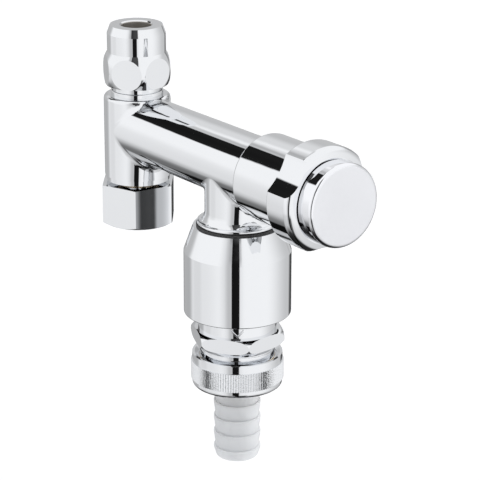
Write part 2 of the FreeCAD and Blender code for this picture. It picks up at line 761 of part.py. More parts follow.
def knob():
    """Hollow knob: rounded shell with three finger grips, a plate behind the cap, splined hub."""
    bead_at = KNOB_AT + KNOB_BODY_L
    bead_centre = KNOB_R - KNOB_BEAD
    rear_slant = KNOB_ROUND * (1 - math.sqrt(0.5))
    tilt = math.radians(KNOB_FRONT_ANGLE)
    half_way = (tilt + math.radians(90)) / 2
    bead_r = bead_centre + KNOB_BEAD * math.sin(tilt)
    bead_end = bead_at + KNOB_BEAD * math.cos(tilt)
    front = bead_end + (bead_r - KNOB_MOUTH_R) * math.tan(tilt)
    plate_at = KNOB_AT + KNOB_CAVITY_L
    blank = turned(
        ARM_AXIS,
        (KNOB_CAVITY_R, KNOB_AT),
        (KNOB_R - KNOB_ROUND, KNOB_AT),
        ((KNOB_R - rear_slant, KNOB_AT + rear_slant), (KNOB_R, KNOB_AT + KNOB_ROUND)),
        (KNOB_R, bead_at),
        (
            (bead_centre + KNOB_BEAD * math.sin(half_way), bead_at + KNOB_BEAD * math.cos(half_way)),
            (bead_r, bead_end),
        ),
        (KNOB_MOUTH_R, front),
        (KNOB_MOUTH_R, PLATE_END_AT),
        (KNOB_POCKET_R, PLATE_END_AT),
        (KNOB_POCKET_R, HUB_END_AT),
        (0, HUB_END_AT),
        (0, HUB_AT),
        (KNOB_HUB_R, HUB_AT),
        (KNOB_HUB_R, plate_at),
        (KNOB_CAVITY_R, plate_at),
    )
    spline = toothed(ARM_AXIS, SPLINE_TEETH, SPLINE_R + PUSH_GAP, SPLINE_DEPTH, HUB_AT, SPLINE_END_AT)
    screw = rod(ARM_AXIS, SCREW_R + PUSH_GAP, HUB_AT, HUB_END_AT)
    half = math.radians(KNOB_SCOOP_ANGLE / 2)
    away = KNOB_R * math.cos(half) + math.sqrt(KNOB_SCOOP_R ** 2 - (KNOB_R * math.sin(half)) ** 2)
    turn = math.radians(180 - KNOB_SCOOP_TURN)
    cutter = Part.makeCylinder(KNOB_SCOOP_R, front - KNOB_AT)
    cutter.translate(Vector(away * math.cos(turn), away * math.sin(turn), KNOB_AT))
    scoops = around(placed(cutter, ARM_AXIS), ARM_AXIS, KNOB_SCOOP_COUNT)
    return blank.cut([spline, screw] + scoops)


def knob_screw():
    """Screw with a hexagon socket that holds the knob on the spline."""
    head_end = HUB_END_AT + SCREW_HEAD_T
    body = turned(
        ARM_AXIS,
        (0, HUB_END_AT - SCREW_L),
        (SCREW_R, HUB_END_AT - SCREW_L),
        (SCREW_R, HUB_END_AT),
        (SCREW_HEAD_R, HUB_END_AT),
        (SCREW_HEAD_R, head_end),
        (0, head_end),
    )
    across = 2 * SCREW_SOCKET_R
    return body.cut(hexagon(ARM_AXIS, across, 0, head_end - SCREW_SOCKET_D, head_end))


def knob_cap():
    """Hollow front cap with a spigot that clips into the knob's pocket."""
    spigot = KNOB_POCKET_R - RUN_GAP
    front = PLATE_END_AT + CAP_L
    slant = CAP_ROUND * (1 - math.sqrt(0.5))
    return turned(
        ARM_AXIS,
        (spigot - CAP_SPIGOT_WALL, HUB_END_AT + CAP_SPIGOT_GAP),
        (spigot, HUB_END_AT + CAP_SPIGOT_GAP),
        (spigot, PLATE_END_AT),
        (CAP_R, PLATE_END_AT),
        (CAP_R, front - CAP_ROUND),
        ((CAP_R - slant, front - slant), (CAP_R - CAP_ROUND, front)),
        (0, front),
        (0, front - CAP_WALL),
        (CAP_R - CAP_WALL, front - CAP_WALL),
        (CAP_R - CAP_WALL, PLATE_END_AT + CAP_WALL),
        (spigot - CAP_SPIGOT_WALL, PLATE_END_AT + CAP_WALL),
    )


def hood_seal():
    """Flat seal between the neck flange and the hood."""
    outer = FLANGE_R + HOOD_SEAL_LAP
    return ring(DROP_AXIS, SPIGOT_R + PUSH_GAP, outer, FLANGE_FOOT, FLANGE_FOOT + HOOD_SEAL_T)


def vent_hood():
    """Bell-shaped hood clamped under the neck flange; air enters round its open foot."""
    cone_foot = FLANGE_FOOT - HOOD_CONE_L
    spread = (HOOD_R - HOOD_TOP_R) / HOOD_CONE_L
    side = HOOD_WALL * math.sqrt(1 + spread ** 2)
    inner_top = HOOD_TOP_R + spread * HOOD_PLATE_T - side
    slant = HOOD_ROUND * (1 - math.sqrt(0.5))
    return turned(
        DROP_AXIS,
        (SPIGOT_R + LOOSE_GAP, FLANGE_FOOT),
        (SPIGOT_R + LOOSE_GAP, BODY_TOP),
        (inner_top, BODY_TOP),
        (HOOD_R - HOOD_WALL, cone_foot),
        (HOOD_R - HOOD_WALL, HOOD_FOOT),
        (HOOD_R - HOOD_ROUND, HOOD_FOOT),
        ((HOOD_R - slant, HOOD_FOOT + slant), (HOOD_R, HOOD_FOOT + HOOD_ROUND)),
        (HOOD_R, cone_foot),
        (HOOD_TOP_R, FLANGE_FOOT),
    )


def spigot_oring():
    """Seal between the neck's spigot and the backflow preventer."""
    height = SPIGOT_FOOT + SPIGOT_GROOVE_RISE + SPIGOT_GROOVE_W / 2
    return seal_ring(DROP_AXIS, SPIGOT_R - SPIGOT_GROOVE_D, SPIGOT_R + RUN_GAP, height)


def backflow_body():
    """Backflow preventer's body: collar with air ports, hexagon and outlet thread."""
    thread = THREAD_34_PITCH_R - THREAD_GAP
    relief_foot = OUTLET_HEX_FOOT - OUTLET_RELIEF_L
    core = turned(
        DROP_AXIS,
        (SPIGOT_R + RUN_GAP, BODY_TOP),
        (COLLAR_R, BODY_TOP),
        (COLLAR_R, COLLAR_FOOT),
        (COLLAR_R, OUTLET_HEX_FOOT),
        (thread - OUTLET_RELIEF_D, OUTLET_HEX_FOOT),
        (thread - OUTLET_RELIEF_D, relief_foot),
        (thread, relief_foot - OUTLET_RELIEF_D),
        (thread, OUTLET_FOOT + OUTLET_RELIEF_D),
        (thread - OUTLET_RELIEF_D, OUTLET_FOOT),
        (VENT_BORE_R, OUTLET_FOOT),
        (VENT_BORE_R, LIP_FOOT),
        (LIP_R, LIP_FOOT),
        (LIP_R, CARTRIDGE_FOOT_AT),
        (CARTRIDGE_R, CARTRIDGE_FOOT_AT),
        (CARTRIDGE_R, CARTRIDGE_TOP_AT),
        (SPIGOT_R + RUN_GAP, CARTRIDGE_TOP_AT),
    )
    bar = hexagon(DROP_AXIS, OUTLET_HEX_ACROSS, OUTLET_HEX_TURN, OUTLET_HEX_FOOT, COLLAR_FOOT)
    grip = bar.common(barrel(DROP_AXIS, OUTLET_HEX_ACROSS, OUTLET_HEX_FOOT, COLLAR_FOOT))
    hollow = rod(DROP_AXIS, VENT_BORE_R, OUTLET_HEX_FOOT, COLLAR_FOOT)
    port = Part.makeCylinder(VENT_PORT_R, COLLAR_R, Vector(), Vector(1, 0, 0))
    port.translate(Vector(0, -ARM_REACH, LIP_FOOT - VENT_PORT_DROP))
    ports = around(port, DROP_AXIS, VENT_PORT_COUNT)
    return core.fuse(grip.cut(hollow)).removeSplitter().cut(ports)


def check_cartridge():
    """Cartridge with the poppet's seat on top and a spider with its guide at the foot."""
    outer = CARTRIDGE_R - PUSH_GAP
    inner = outer - CARTRIDGE_WALL
    shell = turned(
        DROP_AXIS,
        (CARTRIDGE_PORT_R, CARTRIDGE_TOP_AT),
        (outer, CARTRIDGE_TOP_AT),
        (outer, CARTRIDGE_FOOT_AT),
        (inner, CARTRIDGE_FOOT_AT),
        (inner, POPPET_SEAT),
        (CARTRIDGE_PORT_R, POPPET_SEAT),
    )
    hub = rod(DROP_AXIS, CARTRIDGE_HUB_R, CARTRIDGE_FOOT_AT, SPIDER_TOP)
    reach = (inner + outer) / 2
    corner = Vector(0, -CARTRIDGE_ARM_W / 2, CARTRIDGE_FOOT_AT)
    arm = Part.makeBox(reach, CARTRIDGE_ARM_W, CARTRIDGE_FOOT, corner)
    arm.translate(Vector(0, -ARM_REACH, 0))
    arms = around(arm, DROP_AXIS, CARTRIDGE_ARM_COUNT)
    guide = rod(DROP_AXIS, POPPET_STEM_R + RUN_GAP, CARTRIDGE_FOOT_AT, SPIDER_TOP)
    return shell.fuse([hub] + arms).removeSplitter().cut(guide)


def check_poppet():
    """Poppet with a nose in the port and a stem in the spider's guide."""
    seal_foot = POPPET_SEAT - POPPET_SEAL_T
    return turned(
        DROP_AXIS,
        (0, POPPET_FOOT - POPPET_STEM_L),
        (POPPET_STEM_R, POPPET_FOOT - POPPET_STEM_L),
        (POPPET_STEM_R, POPPET_FOOT),
        (POPPET_R, POPPET_FOOT),
        (POPPET_R, seal_foot),
        (POPPET_NOSE_R, seal_foot),
        (POPPET_NOSE_R, POPPET_SEAT),
        (POPPET_NOSE_R - POPPET_NOSE_L, POPPET_SEAT + POPPET_NOSE_L),
        (0, POPPET_SEAT + POPPET_NOSE_L),
    )


def poppet_seal():
    """Flat rubber ring on the poppet."""
    return ring(DROP_AXIS, POPPET_NOSE_R + PUSH_GAP, POPPET_R, POPPET_SEAT - POPPET_SEAL_T, POPPET_SEAT)


def check_spring():
    """Coil spring between the spider and the poppet."""
    low = SPIDER_TOP + SPRING_WIRE_R + SPRING_END_GAP
    high = POPPET_FOOT - SPRING_WIRE_R - SPRING_END_GAP
    pitch = (high - low) / SPRING_TURN_COUNT
    helix = Part.makeHelix(pitch, high - low, SPRING_COIL_R)
    circle = Part.Circle(Vector(SPRING_COIL_R, 0, 0), Vector(0, 1, 0), SPRING_WIRE_R)
    wire = Part.Wire(circle.toShape())
    coil = Part.Wire(helix.Edges).makePipeShell([wire], True, True)
    coil.translate(Vector(0, 0, low))
    return placed(coil, DROP_AXIS)


def vent_membrane():
    """Rubber sleeve that lies over the air ports from inside."""
    outer = VENT_BORE_R - PUSH_GAP
    return ring(DROP_AXIS, outer - MEMBRANE_T, outer, MEMBRANE_FOOT, LIP_FOOT - FACE_GAP)


def vent_cage():
    """Slotted cage that backs the membrane, pushed into the outlet bore by its foot."""
    sleeve = VENT_BORE_R - 2 * PUSH_GAP - MEMBRANE_T
    inner = sleeve - CAGE_WALL
    shell = turned(
        DROP_AXIS,
        (inner, MEMBRANE_FOOT - CAGE_FOOT_L),
        (VENT_BORE_R - PUSH_GAP, MEMBRANE_FOOT - CAGE_FOOT_L),
        (VENT_BORE_R - PUSH_GAP, MEMBRANE_FOOT),
        (sleeve, MEMBRANE_FOOT),
        (sleeve, LIP_FOOT - FACE_GAP),
        (inner, LIP_FOOT - FACE_GAP),
    )
    low = MEMBRANE_FOOT + CAGE_WALL
    high = LIP_FOOT - FACE_GAP - CAGE_WALL
    corner = Vector(0, -ARM_REACH - CAGE_SLOT_W / 2, low)
    slot = Part.makeBox(VENT_BORE_R, CAGE_SLOT_W, high - low, corner)
    return shell.cut(around(slot, DROP_AXIS, VENT_PORT_COUNT))


def hose_washer():
    """Flat seal between the outlet thread's end and the hose tail."""
    return ring(DROP_AXIS, HOSE_SEAL_HOLE_R, HOSE_SEAL_R, TAIL_FLANGE_TOP, OUTLET_FOOT)


def hose_tail():
    """Flanged plastic tail with tapered barbs and a rounded nose."""
    steps = [
        (TAIL_BORE_R, TAIL_FLANGE_TOP),
        (HOSE_SEAL_R, TAIL_FLANGE_TOP),
        (HOSE_SEAL_R, TAIL_FLANGE_FOOT),
        (TAIL_ROOT_R, TAIL_FLANGE_FOOT),
    ]
    for index in range(BARB_COUNT):
        top = BARB_TOP - index * BARB_PITCH
        steps.append((TAIL_ROOT_R, top))
        steps.append((BARB_R, top))
        steps.append((BARB_R, top - BARB_LAND))
    nose_r = TAIL_ROOT_R - TAIL_NOSE_ROUND
    slant = TAIL_NOSE_ROUND * math.sqrt(0.5)
    round_at = TAIL_TIP + TAIL_NOSE_ROUND
    steps.append((TAIL_ROOT_R, round_at))
    steps.append(((nose_r + slant, round_at - slant), (nose_r, TAIL_TIP)))
    steps.append((TAIL_BORE_R, TAIL_TIP))
    return turned(DROP_AXIS, *steps)


def hose_union_nut():
    """Round union nut with a knurled grip band and a web under the tail's flange."""
    wall = THREAD_34_PITCH_R + THREAD_GAP
    knurl_top = HOSE_NUT_TOP - HOSE_NUT_TOP_BAND
    knurl_foot = knurl_top - KNURL_L
    slant = HOSE_NUT_ROUND * (1 - math.sqrt(0.5))
    band = HOSE_NUT_BAND_R
    web_top = HOSE_NUT_FOOT + HOSE_NUT_WEB
    hole = BARB_R + LOOSE_GAP
    blank = turned(
        DROP_AXIS,
        (HOSE_NUT_MOUTH_R, HOSE_NUT_TOP),
        (band, HOSE_NUT_TOP),
        (band, HOSE_NUT_FOOT + HOSE_NUT_ROUND),
        ((band - slant, HOSE_NUT_FOOT + slant), (band - HOSE_NUT_ROUND, HOSE_NUT_FOOT)),
        (hole, HOSE_NUT_FOOT),
        (hole, web_top),
        (wall, web_top),
        (wall, HOSE_NUT_TOP - HOSE_NUT_MOUTH_D),
    )
    knurl = toothed(DROP_AXIS, KNURL_TEETH, KNURL_R, KNURL_DEPTH, knurl_foot, knurl_top)
    core = rod(DROP_AXIS, (wall + band) / 2, knurl_foot, knurl_top)
    return blank.fuse(knurl.cut(core))


PIECES = (
    valve_body,
    inlet_washer,
    inlet_tail,
    inlet_union_nut,
    compression_olive,
    compression_nut,
    head_part,
    head_oring,
    spindle,
    spindle_oring,
    spindle_clip,
    disc_carrier,
    seat_washer,
    knob,
    knob_screw,
    knob_cap,
    hood_seal,
    vent_hood,
    spigot_oring,
    backflow_body,
    check_cartridge,
    check_poppet,
    poppet_seal,
    check_spring,
    vent_membrane,
    vent_cage,
    hose_washer,
    hose_tail,
    hose_union_nut,
)


def main():
    """Write one STEP file for each piece."""
    os.makedirs("parts", exist_ok=True)
    for piece in PIECES:
        shape = piece()
        box = shape.BoundBox
        print(f"{piece.__name__:18s} solids {len(shape.Solids)} valid {shape.isValid()} "
              f"volume {shape.Volume:9.1f} z {box.ZMin:7.2f} {box.ZMax:7.2f} "
              f"y {box.YMin:8.2f} {box.YMax:7.2f}")
        shape.exportStep(f"parts/{piece.__name__}.step")


if __name__ == "__main__":
    main()
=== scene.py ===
"""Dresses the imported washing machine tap: threads, flow arrow, spring, finishes and studio."""

import logging
import math
from dataclasses import dataclass, field
from enum import Enum
from typing import ClassVar

import bmesh
import bpy
from mathutils import Matrix, Vector

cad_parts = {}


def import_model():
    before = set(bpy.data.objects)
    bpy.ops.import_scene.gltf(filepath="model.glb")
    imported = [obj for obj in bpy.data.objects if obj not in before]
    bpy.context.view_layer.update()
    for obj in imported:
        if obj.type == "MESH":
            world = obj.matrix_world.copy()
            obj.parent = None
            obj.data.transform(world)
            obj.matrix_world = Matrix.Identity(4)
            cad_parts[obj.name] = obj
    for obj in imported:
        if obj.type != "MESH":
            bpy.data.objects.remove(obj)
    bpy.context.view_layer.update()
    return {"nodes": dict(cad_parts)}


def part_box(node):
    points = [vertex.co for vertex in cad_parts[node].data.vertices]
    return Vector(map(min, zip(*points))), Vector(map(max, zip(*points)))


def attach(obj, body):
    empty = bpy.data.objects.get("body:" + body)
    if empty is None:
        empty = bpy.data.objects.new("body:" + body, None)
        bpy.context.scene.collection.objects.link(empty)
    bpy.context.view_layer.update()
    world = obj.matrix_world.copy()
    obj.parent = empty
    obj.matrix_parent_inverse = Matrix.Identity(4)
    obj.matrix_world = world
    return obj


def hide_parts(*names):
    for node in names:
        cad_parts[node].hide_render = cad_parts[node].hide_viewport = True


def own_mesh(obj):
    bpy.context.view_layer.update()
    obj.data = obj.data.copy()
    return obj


LOG = logging.getLogger("tap")

# Upright axes of the tap in the row frame, in metres
COLUMN_XY = (0.0, 0.0)
DROP_XY = (0.0, -0.0576)
# Lower and upper level of the hose nut's knurl, in metres
KNURL_BAND = (-0.04985, -0.04345)
# Pitches of the G 3/8 and G 3/4 pipe threads, in metres
PITCH_38 = 0.001337
PITCH_34 = 0.001814
# Edges that bend by more than this stay sharp
SHARP_ANGLE = math.radians(30.0)

Colour = tuple[float, float, float]
Socket = bpy.types.NodeSocket


class Body(str, Enum):
    """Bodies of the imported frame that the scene's own pieces ride on."""

    VALVE = "valve"
    INLET_NUT = "inlet_nut"
    PIPE_NUT = "pipe_nut"
    HOSE_NUT = "hose_nut"
    POPPET = "poppet"


class Slot(str, Enum):
    """Material slots."""

    CHROME = "chrome"
    BRASS = "brass"
    STEEL = "steel"


class Side(Enum):
    """The side of a wall that a thread stands on: +1 outwards, -1 inwards."""

    MALE = 1.0
    FEMALE = -1.0


# --------------------------------------------------------------------------- helpers


def put(name: str, data: bpy.types.ID) -> bpy.types.Object:
    """Makes an object and links it to the scene.

    Args:
        name: the object's name.
        data: its mesh, light or camera.

    Returns:
        The object.
    """
    made = bpy.data.objects.new(name, data)
    bpy.context.scene.collection.objects.link(made)
    return made


def smooth(mesh: bpy.types.Mesh) -> None:
    """Shades a mesh smooth but for its sharp edges.

    Args:
        mesh: the mesh.
    """
    mesh.shade_smooth()
    mesh.set_sharp_from_angle(angle=SHARP_ANGLE)


class Sketch:
    """A short way to add and join nodes in one tree."""

    def __init__(self, tree: bpy.types.NodeTree) -> None:
        """Keeps the tree that the nodes go into.

        Args:
            tree: the shader or geometry tree.
        """
        self.tree = tree

    def node(self, kind: str, inputs: dict | None = None, **settings: object) -> bpy.types.Node:
        """Adds a node, sets its properties and fills or joins its inputs.

        Args:
            kind: the node's type name.
            inputs: socket name or number to a value or to another node's output.
            settings: properties of the node.

        Returns:
            The new node.
        """
        made = self.tree.nodes.new(kind)
        for name, value in settings.items():
            setattr(made, name, value)
        for key, value in (inputs or {}).items():
            socket = made.inputs[key]
            if isinstance(value, bpy.types.NodeSocket):
                self.tree.links.new(value, socket)
            else:
                socket.default_value = value
        return made

    def math(self, operation: str, *values: object) -> Socket:
        """Adds a Math node.

        Args:
            operation: the Math node's operation.
            values: numbers or outputs, in the order of its inputs.

        Returns:
            Its output.
        """
        inputs = dict(enumerate(values))
        return self.node("ShaderNodeMath", inputs, operation=operation).outputs[0]

    def axis(self, vector: Socket, name: str) -> Socket:
        """Takes one coordinate of a vector.

        Args:
            vector: the vector's output.
            name: X, Y or Z.

        Returns:
            The coordinate's output.
        """
        return self.node("ShaderNodeSeparateXYZ", {"Vector": vector}).outputs[name]

    def spread(
        self,
        value: Socket,
        start: float | Socket,
        end: float | Socket,
        low: float = 0.0,
        high: float = 1.0,
        kind: str = "LINEAR",
    ) -> Socket:
        """Brings a value from one range to another and keeps it inside.

        Args:
            value: the value's output.
            start: the value that gives low.
            end: the value that gives high.
            low: the result at the start.
            high: the result at the end.
            kind: how the result runs between them.

        Returns:
            The result's output.
        """
        inputs = {"Value": value, "From Min": start, "From Max": end, "To Min": low, "To Max": high}
        return self.node("ShaderNodeMapRange", inputs, interpolation_type=kind).outputs[0]

    def window(self, value: Socket, half: float, soft: float) -> Socket:
        """A smooth window: 1 where the value is near 0 and 0 where it is far.

        Args:
            value: the output to test.
            half: half of the window's width.
            soft: width of its soft edge.

        Returns:
            The mask's output.
        """
        away = self.math("ABSOLUTE", value)
        return self.spread(away, half - soft / 2, half + soft / 2, 1.0, 0.0, "SMOOTHSTEP")

    def mix(self, factor: Socket, first: float | Socket, second: float | Socket) -> Socket:
        """Mixes two numbers.

        Args:
            factor: how much of the second.
            first: the first number.
            second: the second number.

        Returns:
            The mixed number's output.
        """
        return self.node("ShaderNodeMix", {"Factor": factor, 2: first, 3: second}).outputs[0]

    def tint(self, factor: Socket, first: Colour | Socket, second: Colour) -> Socket:
        """Mixes two colours.

        Args:
            factor: how much of the second colour.
            first: the first colour.
            second: the second colour.

        Returns:
            The mixed colour's output.
        """
        base = first if isinstance(first, bpy.types.NodeSocket) else (*first, 1.0)
        inputs = {"Factor": factor, 6: base, 7: (*second, 1.0)}
        return self.node("ShaderNodeMix", inputs, data_type="RGBA").outputs[2]


# --------------------------------------------------------------------------- finishes


@dataclass(frozen=True)
class Noise:
    """A random pattern, given by its features per metre and its octaves."""

    scale: float
    detail: float = 3.0

    # Most of the noise lies between these values
    LOW: ClassVar[float] = 0.3
    HIGH: ClassVar[float] = 0.7

    def spread(self, sketch: Sketch, place: Socket, low: float = 0.0, high: float = 1.0) -> Socket:
        """Brings the noise to a range.

        Args:
            sketch: the material's tree.
            place: the coordinates that it reads.
            low: the least value.
            high: the greatest value.

        Returns:
            The value's output.
        """
        inputs = {"Vector": place, "Scale": self.scale, "Detail": self.detail}
        noise = sketch.node("ShaderNodeTexNoise", inputs).outputs["Fac"]
        return sketch.spread(noise, self.LOW, self.HIGH, low, high)


@dataclass(frozen=True)
class Finish:
    """A procedural material: a clouded colour, an uneven roughness and a fine relief.

    Each kind of finish names its patterns: CLOUD mixes the colour with one that is SHADE as
    bright, SCUFF spreads the roughness between two shares of itself, and GRAIN is the relief,
    DEPTH metres deep.
    """

    name: str
    colour: Colour
    roughness: float
    relief: float

    METALLIC: ClassVar[float] = 0.0
    CLOUD: ClassVar[Noise]
    SHADE: ClassVar[float]
    SCUFF: ClassVar[Noise]
    SCUFF_SHARES: ClassVar[tuple[float, float]]
    GRAIN: ClassVar[Noise]
    DEPTH: ClassVar[float]

    def material(self) -> bpy.types.Material:
        """Builds the finish's material, once.

        Returns:
            The material.
        """
        found = bpy.data.materials.get(self.name)
        if found is not None:
            return found
        made = bpy.data.materials.new(self.name)
        made.use_nodes = True
        made.node_tree.nodes.clear()
        sketch = Sketch(made.node_tree)
        place = sketch.node("ShaderNodeTexCoord").outputs["Object"]
        height = self.grain(sketch, place)
        inputs = {"Height": height, "Strength": self.relief, "Distance": self.DEPTH}
        bump = sketch.node("ShaderNodeBump", inputs)
        inputs = {
            "Base Color": self.dye(sketch, place),
            "Metallic": self.METALLIC,
            "Roughness": self.polish(sketch, place),
            "Normal": bump.outputs["Normal"],
            **self.depths(),
        }
        shader = sketch.node("ShaderNodeBsdfPrincipled", inputs)
        sketch.node("ShaderNodeOutputMaterial", {"Surface": shader.outputs["BSDF"]})
        made.diffuse_color = (*self.colour, 1.0)
        return made

    def second_colour(self) -> Colour:
        """The colour of the clouds."""
        return tuple(channel * self.SHADE for channel in self.colour)

    def dye(self, sketch: Sketch, place: Socket) -> Socket:
        """Makes the clouded colour.

        Args:
            sketch: the material's tree.
            place: the object coordinates.

        Returns:
            The colour's output.
        """
        return sketch.tint(self.CLOUD.spread(sketch, place), self.colour, self.second_colour())

    def polish(self, sketch: Sketch, place: Socket) -> Socket:
        """Makes the uneven roughness.

        Args:
            sketch: the material's tree.
            place: the object coordinates.

        Returns:
            The roughness's output.
        """
        low, high = (self.roughness * share for share in self.SCUFF_SHARES)
        return self.SCUFF.spread(sketch, place, low, high)

    def grain(self, sketch: Sketch, place: Socket) -> Socket:
        """Makes the relief's height, from 0 to 1.

        Args:
            sketch: the material's tree.
            place: the object coordinates.

        Returns:
            The height's output.
        """
        return self.GRAIN.spread(sketch, place)

    def depths(self) -> dict[str, object]:
        """The shader's values for light that goes under the surface."""
        return {}


@dataclass(frozen=True)
class PolishedChrome(Finish):
    """Bright chrome over polished brass, and the bare metal inside a bore."""

    relief: float = 0.2
    bore_xy: tuple[float, float] | None = None
    bore_radius: float = 0.0
    bore_top: float = 1.0
    bore_rough: float = 0.32
    bore_colour: Colour = (0.55, 0.40, 0.19)

    METALLIC: ClassVar[float] = 1.0
    CLOUD: ClassVar[Noise] = Noise(45.0)
    SHADE: ClassVar[float] = 0.985
    SCUFF: ClassVar[Noise] = Noise(260.0, 5.0)
    SCUFF_SHARES: ClassVar[tuple[float, float]] = (0.6, 1.6)
    GRAIN: ClassVar[Noise] = Noise(110.0, 1.0)
    DEPTH: ClassVar[float] = 0.00002
    BORE_EDGE: ClassVar[float] = 0.0001

    def dye(self, sketch: Sketch, place: Socket) -> Socket:
        """Makes the clouded colour, and the bore's.

        Args:
            sketch: the material's tree.
            place: the object coordinates.

        Returns:
            The colour's output.
        """
        colour = super().dye(sketch, place)
        if self.bore_xy is None:
            return colour
        return sketch.tint(self.bore(sketch, place), colour, self.bore_colour)

    def polish(self, sketch: Sketch, place: Socket) -> Socket:
        """Makes the uneven roughness, and the bore's.

        Args:
            sketch: the material's tree.
            place: the object coordinates.

        Returns:
            The roughness's output.
        """
        rough = super().polish(sketch, place)
        if self.bore_xy is None:
            return rough
        return sketch.mix(self.bore(sketch, place), rough, self.bore_rough)

    def bore(self, sketch: Sketch, place: Socket) -> Socket:
        """Finds what lies inside the bore.

        Args:
            sketch: the material's tree.
            place: the object coordinates.

        Returns:
            A mask that is 1 inside the bore.
        """
        x, y = self.bore_xy
        inputs = {"Vector": place, "Location": (-x, -y, 0.0), "Scale": (1.0, 1.0, 0.0)}
        flat = sketch.node("ShaderNodeMapping", inputs).outputs["Vector"]
        away = sketch.node("ShaderNodeVectorMath", {0: flat}, operation="LENGTH").outputs["Value"]
        below = sketch.math("LESS_THAN", sketch.axis(place, "Z"), self.bore_top)
        return sketch.math("MULTIPLY", sketch.window(away, self.bore_radius, self.BORE_EDGE), below)


@dataclass(frozen=True)
class RolledChrome(PolishedChrome):
    """Chrome over a rolled knurl, whose teeth are duller and a little uneven."""

    relief: float = 0.5
    band: tuple[float, float] = KNURL_BAND
    tooth_rough: float = 0.09

    GRAIN: ClassVar[Noise] = Noise(2600.0, 2.0)
    DEPTH: ClassVar[float] = 0.00005
    BAND_EDGE: ClassVar[float] = 0.0002

    def teeth(self, sketch: Sketch, place: Socket) -> Socket:
        """Finds the knurl.

        Args:
            sketch: the material's tree.
            place: the object coordinates.

        Returns:
            A mask that is 1 on the knurl.
        """
        foot, top = self.band
        away = sketch.math("SUBTRACT", sketch.axis(place, "Z"), (foot + top) / 2)
        return sketch.window(away, (top - foot) / 2, self.BAND_EDGE)

    def polish(self, sketch: Sketch, place: Socket) -> Socket:
        """Makes the uneven roughness, duller on the knurl.

        Args:
            sketch: the material's tree.
            place: the object coordinates.

        Returns:
            The roughness's output.
        """
        rough = super().polish(sketch, place)
        return sketch.mix(self.teeth(sketch, place), rough, self.tooth_rough)

    def grain(self, sketch: Sketch, place: Socket) -> Socket:
        """Makes the height of the teeth's small dents.

        Args:
            sketch: the material's tree.
            place: the object coordinates.

        Returns:
            The height's output.
        """
        return sketch.math("MULTIPLY", super().grain(sketch, place), self.teeth(sketch, place))


@dataclass(frozen=True)
class SatinPlate(Finish):
    """Chrome with a blasted satin front, as on the knob's cap, whose side stays polished."""

    relief: float = 0.25
    front: float = -0.11242
    rim: float = 0.00007
    side_rough: float = 0.03

    METALLIC: ClassVar[float] = 1.0
    CLOUD: ClassVar[Noise] = Noise(60.0)
    SHADE: ClassVar[float] = 0.97
    SCUFF: ClassVar[Noise] = Noise(900.0)
    SCUFF_SHARES: ClassVar[tuple[float, float]] = (0.85, 1.15)
    GRAIN: ClassVar[Noise] = Noise(6000.0, 2.0)
    DEPTH: ClassVar[float] = 0.00001

    def face(self, sketch: Sketch, place: Socket) -> Socket:
        """Finds the satin front.

        Args:
            sketch: the material's tree.
            place: the object coordinates.

        Returns:
            A mask that is 1 on the front.
        """
        return sketch.spread(sketch.axis(place, "Y"), self.front + self.rim, self.front)

    def polish(self, sketch: Sketch, place: Socket) -> Socket:
        """Makes the roughness of the side and of the front.

        Args:
            sketch: the material's tree.
            place: the object coordinates.

        Returns:
            The roughness's output.
        """
        satin = super().polish(sketch, place)
        return sketch.mix(self.face(sketch, place), self.side_rough, satin)

    def grain(self, sketch: Sketch, place: Socket) -> Socket:
        """Makes the height of the front's grain.

        Args:
            sketch: the material's tree.
            place: the object coordinates.

        Returns:
            The height's output.
        """
        return sketch.math("MULTIPLY", super().grain(sketch, place), self.face(sketch, place))


@dataclass(frozen=True)
class TurnedMetal(Finish):
    """Machined metal with fine turning lines across its axis."""

    relief: float = 0.3
    lines: tuple[float, float, float] = (40.0, 40.0, 6000.0)

    METALLIC: ClassVar[float] = 1.0
    CLOUD: ClassVar[Noise] = Noise(220.0)
    SHADE: ClassVar[float] = 0.82
    SCUFF: ClassVar[Noise] = Noise(1.0)
    SCUFF_SHARES: ClassVar[tuple[float, float]] = (0.8, 1.25)
    GRAIN: ClassVar[Noise] = Noise(1.0)
    DEPTH: ClassVar[float] = 0.00001

    def across(self, sketch: Sketch, place: Socket) -> Socket:
        """Squeezes the coordinates to the turning lines.

        Args:
            sketch: the material's tree.
            place: the object coordinates.

        Returns:
            The new coordinates' output.
        """
        inputs = {"Vector": place, "Scale": self.lines}
        return sketch.node("ShaderNodeMapping", inputs).outputs["Vector"]

    def polish(self, sketch: Sketch, place: Socket) -> Socket:
        """Makes a roughness that follows the lines.

        Args:
            sketch: the material's tree.
            place: the object coordinates.

        Returns:
            The roughness's output.
        """
        return super().polish(sketch, self.across(sketch, place))

    def grain(self, sketch: Sketch, place: Socket) -> Socket:
        """Makes the lines' height.

        Args:
            sketch: the material's tree.
            place: the object coordinates.

        Returns:
            The height's output.
        """
        return super().grain(sketch, self.across(sketch, place))


@dataclass(frozen=True)
class MouldedPlastic(Finish):
    """Moulded plastic with a faint grain and light that spreads under its surface."""

    relief: float = 0.2
    glow: float = 0.0

    CLOUD: ClassVar[Noise] = Noise(140.0)
    SHADE: ClassVar[float] = 0.95
    SCUFF: ClassVar[Noise] = Noise(700.0)
    SCUFF_SHARES: ClassVar[tuple[float, float]] = (0.85, 1.2)
    GRAIN: ClassVar[Noise] = Noise(2600.0, 2.0)
    DEPTH: ClassVar[float] = 0.00001
    REACH: ClassVar[float] = 0.004

    def depths(self) -> dict[str, object]:
        """The shader's values for light that goes under the surface."""
        return {
            "Subsurface Weight": self.glow,
            "Subsurface Radius": (1.0, 1.0, 1.0),
            "Subsurface Scale": self.REACH,
        }


